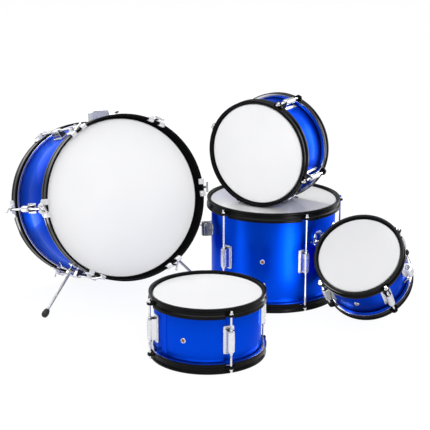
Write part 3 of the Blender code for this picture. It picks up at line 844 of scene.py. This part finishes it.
def plate(half_tall, half_wide, thick, power=2.6):
    """Oval or squarish foot plate lying on the shell, with a rounded edge."""
    outline = []
    for degrees in range(0, 360, 9):
        c, s = math.cos(math.radians(degrees)), math.sin(math.radians(degrees))
        outline.append((math.copysign(abs(c) ** (2 / power), c) * half_tall,
                        math.copysign(abs(s) ** (2 / power), s) * half_wide))
    return moved(soft_slab(outline, GAP, thick, 0.0008, 3), LYING)


def side_screw(name, at, out, side, span_out, length, span, finish):
    """Thumb screw on the +Y or -Y side of a bracket."""
    place = at @ Matrix.Translation((out, side * (span_out + GAP), 0)) @ to_side(side)
    wing_screw(name, place, length, span, finish)


def spur(side, angle, foot_at):
    """Bracket of a spur on the shell, its rod and rubber foot, and its screw."""
    node = "bass_spur_" + side
    place = DRUMS["bass"].place
    boss_half = 0.0085
    at = round_at(angle) @ Matrix.Translation((DRUMS["bass"].radius, 0, SPUR_HEIGHT))
    start = at @ Vector((SPUR_OUT, 0, 0))
    reach = place.inverted() @ (Vector(foot_at) + KIT_SHIFT) - start
    axis = place @ Matrix.Translation(start) @ reach.to_track_quat("Z", "Y").to_matrix().to_4x4()
    boss = softened(block(0.002, 0.028, -boss_half, boss_half, -0.01, 0.01), 0.0022, 3)
    bolt = moved(screw_head(0.0024, 0.003, 0.0022, 0.002, 14), LYING)
    bolts = [shifted(bolt, 0.0044, 0, z) for z in (-0.0128, 0.0128)]
    solids = [plate(0.0165, 0.015, 0.0044), boss] + bolts
    piece(f"bass_spur_clamp_{side}", in_finish(solids, CHROME), "bass", place @ at,
          [f"bass_spur_bracket_{side}"])
    end = reach.length - 0.002
    rod = bar((0, 0, -SPUR_TAIL), (0, 0, end), 0.0037, 20)
    piece(f"bass_spur_rod_{side}", [(rod, ROD_STEEL)], node, axis, [node])
    shoe = soft_turned([(0, end + 0.012), (0.006, end + 0.0112), (0.0088, end + 0.005),
                        (0.0086, end - 0.003), (0.006, end - 0.0108), (0.004, end - 0.011),
                        (0.004, end + GAP), (0, end + GAP)], 0.0016, 4, 24)
    piece(f"bass_spur_shoe_{side}", [(shoe, RUBBER_AND_SHADE)], node, axis, [f"bass_spur_foot_{side}"])
    away = -1 if side == "left" else 1
    side_screw(f"bass_spur_screw_{side}", place @ at, 0.02, away, boss_half, 0.018, 0.018, CHROME)


def tom_mount():
    """Cast block for a tom post on top of the bass drum, with a black disc in its collar as painted shade of
    the post's hole.
    """
    at = on_shell("bass", MOUNT_ANGLE, -DRUMS["bass"].depth / 2)
    screw_out = 0.0225
    outline = rounded([(0.002, -screw_out), (0.0265, -screw_out), (0.033, -0.0185), (0.033, 0.0215),
                       (0.0285, 0.026), (0.002, 0.026)], 0.005, 5)
    body = soft_slab(outline, -0.018, 0.018, 0.0016, 3)
    collar = soft_turned(rectangle(0.0098, 0.0142, 0.0334, 0.03), 0.0008, 3, 32)
    # Black disc in the collar: painted shade of the hole the post goes into
    post_hole_shade = turned(rectangle(0, 0.01, 0.0331, 0.0326), 32)
    bolt = moved(screw_head(0.0028, 0.0034, 0.0026, 0.0024, 16), LYING)
    bolts = [shifted(bolt, 0.0038, y, z) for y in (-0.0255, 0.0255) for z in (-0.015, 0.015)]
    solids = [(plate(0.023, 0.029, 0.004, power=4.0), CHROME), (body, CAST),
              (moved(collar, LYING), CHROME), (moved(post_hole_shade, LYING), RUBBER_AND_SHADE)]
    piece("bass_post_block", solids + in_finish(bolts, CHROME), "bass", at, ["bass_tom_mount"])
    side_screw("bass_mount_screw", at, 0.02, -1, screw_out, 0.021, 0.02, DARK_CHROME)


for spur_side, (spur_angle, spur_foot) in SPURS.items():
    spur(spur_side, spur_angle, spur_foot)
tom_mount()


# Brackets of the floor tom's legs and of the tom arms
def bored_block(outline, centre, hole, half):
    """An outline in XY raised to both sides, with a round bore through it."""
    bore = [(centre + x, y) for x, y in (polar(hole, math.pi * i / 16) for i in range(32))]
    body = bmesh.new()
    rings = []
    for z in (-half, half):
        for loop in (outline, bore):
            rings.append([body.verts.new((x, y, z)) for x, y in loop])
    for low, high in ((rings[0], rings[2]), (rings[1], rings[3])):
        for i in range(len(low)):
            j = (i + 1) % len(low)
            body.faces.new([low[i], low[j], high[j], high[i]])
    for face_loops in (rings[:2], rings[2:]):
        edges = [body.edges.get((loop[i - 1], loop[i])) for loop in face_loops for i in range(len(loop))]
        bmesh.ops.triangle_fill(body, use_beauty=True, edges=edges)
    bmesh.ops.recalc_face_normals(body, faces=body.faces[:])
    return solid_of(body)


def drum_bracket(body, node, screw_node, angle, height, reach, half, tall, hole, side, foot_finish, finish):
    """Bracket of a leg or tom arm: oval foot, cast boss with a through bore, and its screw."""
    at = on_shell(body, angle, height)
    centre = reach - hole - 0.0045
    outline = rounded([(0.002, -half), (reach - 0.004, -half), (reach, -half + 0.004),
                       (reach, half - 0.004), (reach - 0.004, half), (0.002, half)], 0.004, 5)
    boss = softened(bored_block(outline, centre, hole, tall), 0.0008, 2, 50.0)
    lip = soft_turned([(hole + 0.0002, tall + 0.0009), (hole + 0.0028, tall + 0.0009),
                       (hole + 0.0032, tall - 0.0005), (hole + 0.0002, tall - 0.0005)], 0.0004, 2, 32)
    foot = plate(tall + 0.004, half + 0.004, 0.0044)
    solids = [(foot, foot_finish), (boss, finish)] + in_finish(both_ends(shifted(lip, centre)), CHROME)
    piece(node + "_clamp", solids, body, at, [node])
    side_screw(screw_node, at, centre, side, half, 0.012, 0.018, DARK_CHROME)


LEG_BRACKET = {"height": -0.081, "reach": 0.029, "half": 0.012, "tall": 0.017, "hole": 0.0062,
               "side": -1, "foot_finish": CHROME, "finish": DARK_CHROME}
TOM_BRACKET = {"half": 0.0115, "tall": 0.015, "hole": 0.0045}
for number, leg_angle in enumerate((71, 191, 311), start=1):
    drum_bracket("floor_tom", f"floor_tom_leg_bracket_{number}", f"floor_tom_leg_screw_{number}", leg_angle,
                 **LEG_BRACKET)
# The 10" tom's bracket boss is dark chrome as painted shade, since it sits in that tom's shadow
drum_bracket("tom_10", "tom_10_bracket", "tom_10_bracket_screw", 293.0, -DRUMS["tom_10"].depth / 2,
             reach=0.018, side=1, foot_finish=CHROME, finish=DARK_CHROME, **TOM_BRACKET)
drum_bracket("tom_8", "tom_8_bracket", "tom_8_bracket_screw", 5.0, -DRUMS["tom_8"].depth / 2,
             reach=0.023, side=-1, foot_finish=SATIN, finish=SATIN, **TOM_BRACKET)


# Strainer and wires of the snare drum
def tension_knob():
    """Ribbed knob on its thread."""
    corners, outer, inner = 48, 0.0055, 0.005
    grip = [polar(outer if k % 4 < 2 else inner, 2 * math.pi * k / corners) for k in range(corners)]
    stem = turned([(0, 0.0195), (0.003, 0.0195)] + thread(0.003, 0.019, 0.012) + [(0, 0.012)], 16)
    return [soft_slab(grip, 0.019, 0.0298, 0.0003, 1), stem]


def strainer():
    """Throw-off at the back of the snare drum: plate, two cheeks, hinge pin, tension knob and lever."""
    hinge_out, hinge_height = 0.013, -0.012
    at = on_shell("snare", STRAINER_ANGLE, -DRUMS["snare"].depth / 2 - 0.004)
    outline = rounded(rectangle(-0.028, 0.028, -0.014, 0.014), 0.004, 4)
    solids = [moved(soft_slab(outline, GAP, 0.0034, 0.0006), LYING)]
    cheek = rounded([(0.002, -0.02), (0.014, -0.02), (0.018, -0.015), (0.018, -0.007),
                     (0.011, 0.018), (0.002, 0.018)], 0.003, 4)
    cheek = moved(soft_slab(cheek, -0.0019, 0.0019, 0.0005), STANDING)
    solids += [shifted(cheek, y=middle) for middle in (-0.01, 0.01)]
    solids.append(softened(block(0.002, 0.0058, -0.0118, 0.0118, -0.0198, 0.0178), 0.0006))
    solids.append(softened(block(0.002, 0.0148, -0.0098, 0.0098, 0.0131, 0.0179), 0.001))
    solids.append(bar((hinge_out, -0.0128, hinge_height), (hinge_out, 0.0128, hinge_height), 0.0018, 14))
    solids += [shifted(part, 0.011) for part in tension_knob()]
    screw = moved(screw_head(0.0024, 0.0028, 0.0018, 0.0015, 16), LYING)
    solids += [shifted(screw, 0.0033, 0, z) for z in (-0.024, 0.023)]
    piece("snare_throw_off", in_finish(solids, CHROME), "snare", at, ["snare_strainer"])
    hinge = at @ Matrix.Translation((hinge_out, 0, hinge_height)) @ to_side(1)
    eye = soft_turned(rectangle(0.0023, 0.0042, 0.006, -0.006), 0.0005, 3, 24)
    arm = rounded([(0.0022, -0.001), (0.0048, -0.002), (0.005, -0.018), (0.0048, -0.0296),
                   (0.003, -0.0298), (0.0028, -0.018)], 0.0008, 2)
    arm = soft_slab(arm, -0.0055, 0.0055, 0.0008)
    piece("snare_throw_lever", in_finish([eye, arm], CHROME), "snare_lever", hinge, ["snare_lever"])


def wire_strands():
    """Tree that coils one strand of wire and repeats it side by side."""
    tree, names, given = new_tree("coiled_strands", {
        "Strands": "Int", "Length": "Float", "Spacing": "Float", "Coil radius": "Float",
        "Wire radius": "Float", "Turns": "Float", "Finish": "Material"})
    coil = add(tree, "GeometryNodeCurveSpiral", {
        "Resolution": 7, "Rotations": given["Turns"], "Height": given["Length"],
        "Start Radius": given["Coil radius"], "End Radius": given["Coil radius"]}).outputs[0]
    section = add(tree, "GeometryNodeCurvePrimitiveCircle", {"Resolution": 4, "Radius": given["Wire radius"]})
    strand = add(tree, "GeometryNodeCurveToMesh", {
        "Curve": coil, "Profile Curve": section.outputs[0], "Fill Caps": True}).outputs[0]
    offset = vector(tree, y=given["Spacing"])
    row = add(tree, "GeometryNodeMeshLine", {"Count": given["Strands"], "Offset": offset}).outputs[0]
    end_in_copies(tree, given, row, strand, (0, math.pi / 2, 0))
    return tree, names


def snare_wires():
    """Twenty coiled wires across the lower head between two end plates."""
    low = HEAD_DROP - DRUMS["snare"].depth
    turn = DRUMS["snare"].place @ round_at(STRAINER_ANGLE)
    count, spacing, length = 20, 0.00198, 0.166
    tree, names = wire_strands()
    holder = grown("snare_wire_strands", tree, names, {
        "Strands": count, "Length": length, "Spacing": spacing, "Coil radius": 0.00056,
        "Wire radius": 0.00022, "Turns": 118.0, "Finish": WIRE_STEEL})
    mesh = holder.data
    mesh.transform(turn @ Matrix.Translation((-length / 2, -spacing * (count - 1) / 2, low - 0.0017)))
    mesh.polygons.foreach_set("use_smooth", [True] * len(mesh.polygons))
    settled(holder, "snare", ["snare_wires"])
    rivet = soft_turned([(0, 0.0004), (0.0014, 0.0003), (0.0017, -0.0002), (0, -0.0002)], 0.0003, 2, 14)
    rivet = moved(rivet, MIRROR)
    ends = []
    for side in (-1, 1):
        x0, x1 = sorted((side * 0.08, side * 0.09))
        ends.append(softened(block(x0, x1, -0.02, 0.02, low - 0.003, low - 0.0006), 0.0005))
        ends += [shifted(rivet, side * 0.085, y, low - 0.003) for y in (-0.012, 0.012)]
    piece("snare_wire_plates", in_finish(ends, WIRE_STEEL), "snare", turn)


strainer()
snare_wires()

# Camera at the photograph's place
PHOTO_WIDTH, FOCAL_PIXELS, SENSOR_WIDTH = 430, 1200, 36.0
CAMERA_AT, CAMERA_DIP = Vector((-0.02, -2.95, 1.1072)), 16.147
eye = bpy.data.cameras.new("camera")
eye.sensor_width = SENSOR_WIDTH
eye.lens = SENSOR_WIDTH * FOCAL_PIXELS / PHOTO_WIDTH
eye.clip_start, eye.clip_end = 0.05, 50.0
camera = shown("camera", eye)
camera.location = CAMERA_AT + KIT_SHIFT
camera.rotation_euler = (math.radians(90 - CAMERA_DIP), 0, 0)
bpy.context.scene.camera = camera
bpy.context.scene.view_settings.view_transform = "Standard"

BEARING_STOPS = [(-180, 0.44), (-166, 0.56), (-156, 1.92), (-134, 1.92), (-120, 0.16), (-60, 0.4), (-20, 0.4),
                 (20, 0.56), (60, 0.24), (95, 0.24), (112, 2.08), (136, 2.08), (150, 0.32), (180, 0.44)]
FLOOR_STOPS = [(-180, 0.25), (-160, 0.35), (-146, 0.62), (-112, 0.62), (-92, 0.5), (-60, 1.0), (0, 1.0),
               (60, 1.0), (88, 0.45), (108, 0.35), (122, 1.1), (140, 1.1), (155, 0.3), (180, 0.25)]

# How far the walls give way to the ceiling, by degrees above the floor
RISE_STOPS = [(0, 0.0), (48, 0.0), (64, 1.0), (90, 1.0)]
CEILING_LEVEL = 4.8
SKY_LEVEL = 0.53
FLOOR_SIZE, FLOOR_DROP = 12.0, 0.0004
FLOOR_NEAR, FLOOR_FAR = 0.35, 0.95
FLOOR_GLOW, FLOOR_WHITE = 0.85, 1.08
LEVEL_SPAN = 4.0


def level_by_bearing(tree, place, stops):
    parts = add(tree, "ShaderNodeSeparateXYZ", {0: place}).outputs
    turn = maths(tree, "ARCTAN2", parts["X"], maths(tree, "MULTIPLY", parts["Y"], -1.0))
    levels = [((degrees + 180) / 360, grey(level / LEVEL_SPAN)) for degrees, level in stops]
    return maths(tree, "MULTIPLY", ramp(tree, mapped(tree, turn, -math.pi, math.pi), levels), LEVEL_SPAN)


def show_mix(tree, share, first, second):
    """Sends a mix of two shaders to the material's output."""
    mixed = add(tree, "ShaderNodeMixShader", {0: share, 1: first, 2: second}).outputs[0]
    tree.links.new(mixed, tree.nodes["Material Output"].inputs["Surface"])


def floor_plane():
    """Pale floor, white to the eye with a faint shadow; in the gloss it darkens away from the drums."""
    made, tree, shader = new_material("pale_floor")
    feed(tree, shader, {"Base Color": (0.9, 0.9, 0.9, 1), "Roughness": 0.9, "Specular IOR Level": 0.1})
    path = add(tree, "ShaderNodeLightPath").outputs
    place = add(tree, "ShaderNodeTexCoord").outputs["Object"]
    length = add(tree, "ShaderNodeVectorMath", {0: place}, operation="LENGTH").outputs["Value"]
    away = mapped(tree, length, FLOOR_NEAR, FLOOR_FAR, kind="SMOOTHSTEP")
    glossy = between(tree, away, 1.0, level_by_bearing(tree, place, FLOOR_STOPS))
    strength = between(tree, path["Is Camera Ray"], glossy, FLOOR_WHITE)
    white = add(tree, "ShaderNodeEmission", {"Strength": strength}).outputs[0]
    seen = maths(tree, "MAXIMUM", path["Is Camera Ray"], path["Is Glossy Ray"])
    show_mix(tree, maths(tree, "MULTIPLY", seen, FLOOR_GLOW), shader.outputs[0], white)
    corners = rectangle(-FLOOR_SIZE, FLOOR_SIZE, -FLOOR_SIZE, FLOOR_SIZE)
    flat_card("floor", [(x, y, -FLOOR_DROP) for x, y in corners], made)


def studio_world():
    """White to the eye; glossy surfaces see bright and dark walls and a bright ceiling."""
    world = bpy.data.worlds.new("studio")
    bpy.context.scene.world = world
    world.use_nodes = True
    tree = world.node_tree
    tree.nodes.clear()
    path = add(tree, "ShaderNodeLightPath").outputs
    way = add(tree, "ShaderNodeTexCoord").outputs["Generated"]
    height = maths(tree, "ARCSINE", add(tree, "ShaderNodeSeparateXYZ", {0: way}).outputs["Z"])
    height = maths(tree, "DIVIDE", height, math.pi / 2)
    rise = ramp(tree, height, [(degrees / 90, grey(level)) for degrees, level in RISE_STOPS])
    studio = between(tree, rise, level_by_bearing(tree, way, BEARING_STOPS), CEILING_LEVEL)
    special = maths(tree, "MAXIMUM", path["Is Glossy Ray"], path["Is Transmission Ray"])
    level = between(tree, path["Is Camera Ray"], between(tree, special, SKY_LEVEL, studio), 1.0)
    shine = add(tree, "ShaderNodeBackground", {"Color": (1, 1, 1, 1), "Strength": level})
    add(tree, "ShaderNodeOutputWorld", {0: shine.outputs[0]})


def flat_card(name, corners, finish):
    """A new object of one four-cornered face."""
    mesh = bpy.data.meshes.new(name)
    mesh.from_pydata(corners, [], [(0, 1, 2, 3)])
    mesh.materials.append(finish)
    return shown(name, mesh)


def soft_box(name, at, toward, size, power):
    """Rectangular lamp that the gloss doesn't show."""
    lamp = bpy.data.lights.new(name, "AREA")
    lamp.shape = "RECTANGLE"
    lamp.size, lamp.size_y = size
    lamp.energy = power
    made = shown(name, lamp)
    made.location = at
    made.rotation_euler = (Vector(toward) - Vector(at)).to_track_quat("-Z", "Y").to_euler()
    made.visible_glossy = False


def card_finish(name, level, edge):
    """Even glow that fades out over this share of the card's width at each side."""
    made, tree = new_material(name)[:2]
    place = add(tree, "ShaderNodeTexCoord").outputs["UV"]
    across = add(tree, "ShaderNodeSeparateXYZ", {0: place}).outputs["X"]
    stops = [(0.0, grey(0.0)), (edge, grey(1.0)), (1.0 - edge, grey(1.0)), (1.0, grey(0.0))]
    glow = add(tree, "ShaderNodeEmission", {"Strength": level}).outputs[0]
    clear = add(tree, "ShaderNodeBsdfTransparent").outputs[0]
    show_mix(tree, ramp(tree, across, stops, "EASE"), clear, glow)
    return made


def light_card(name, at, toward, wide, tall, level, edge=0.5, lying=False):
    """Upright or lying card with soft edges, seen only in the gloss of the drums."""
    facing = Vector(toward) - Vector(at)
    facing.z = 0
    facing.normalize()
    side = Vector((0, 0, 1)).cross(facing) * wide / 2
    up = (facing if lying else Vector((0, 0, 1))) * tall / 2
    centre = Vector(at)
    corners = [centre - side - up, centre + side - up, centre + side + up, centre - side + up]
    card = flat_card(name, [tuple(c) for c in corners], card_finish(name, level, edge))
    layer = card.data.uv_layers.new(name="card")
    for loop, uv in zip(layer.data, rectangle(0, 1, 0, 1)):
        loop.uv = uv
    card.visible_camera = False
    card.visible_diffuse = False
    card.visible_shadow = False
    card.visible_transmission = False


floor_plane()
studio_world()
soft_box("back_light", (-0.9, 1.5, 2.3), (0.1, 0.0, 0.2), size=(0.3, 0.3), power=30.0)
soft_box("front_light", (0.6, -5.2, 2.8), (0.0, 0.0, 0.2), size=(3.2, 2.4), power=188.0)
light_card("floor_tom_card", (0.286, -0.137, 0.13), (0.19, 0.142, 0.13), wide=0.12, tall=0.26, level=6.0)
light_card("tom_card", (0.608, 0.264, 0.44), (0.25, 0.05, 0.4), wide=0.26, tall=0.36, level=6.0)
light_card("bass_card", (-0.669, 0.417, 0.075), (-0.4, 0.1, 0.075), wide=0.4, tall=0.1, level=3.6,
           edge=0.2)
light_card("floor_tom_left_card", (0.01, -0.042, 0.13), (0.099, 0.003, 0.13), wide=0.06, tall=0.26,
           level=1.9)
light_card("floor_tom_flag", (0.101, -0.107, 0.13), (0.147, -0.018, 0.13), wide=0.074, tall=0.26, level=0.45,
           edge=0.3)
# Dim card lying on the floor under the 8" tom: painted shade of the floor there, as the drums' gloss sees it
light_card("tom_8_flag", (0.375, -0.08, 0.001), (0.375, -1.0, 0.001), wide=0.23, tall=0.17, level=0.36,
           edge=0.25, lying=True)
